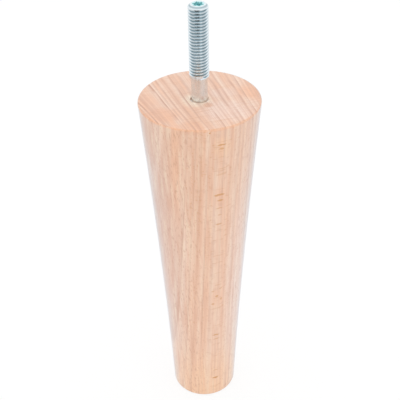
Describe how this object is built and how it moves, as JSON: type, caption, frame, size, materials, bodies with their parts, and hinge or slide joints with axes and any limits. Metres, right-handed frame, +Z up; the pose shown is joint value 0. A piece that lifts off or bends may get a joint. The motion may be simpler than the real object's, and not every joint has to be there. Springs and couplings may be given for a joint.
{
  "type": "tapered furniture leg",
  "caption": "Round tapered beech furniture leg with slightly hollow sides and a zinc-plated hanger bolt standing out of its wide top, ready to screw into a frame.",
  "frame": {"origin": "centre of the foot's flat end, on the surface that the leg stands on", "axes": "+Z up along the leg's axis, out of the wide end with the bolt; the front in the picture looks along -Y, and +X is to its right"},
  "size_m": [0.0498, 0.0498, 0.2],
  "materials": {
    "beech": "sanded, no varnish",
    "zinc_steel": "bright zinc plating"
  },
  "bodies": {
    "root": {"wooden_leg": "beech", "hanger_bolt": "zinc_steel"}
  },
  "joints": []
}
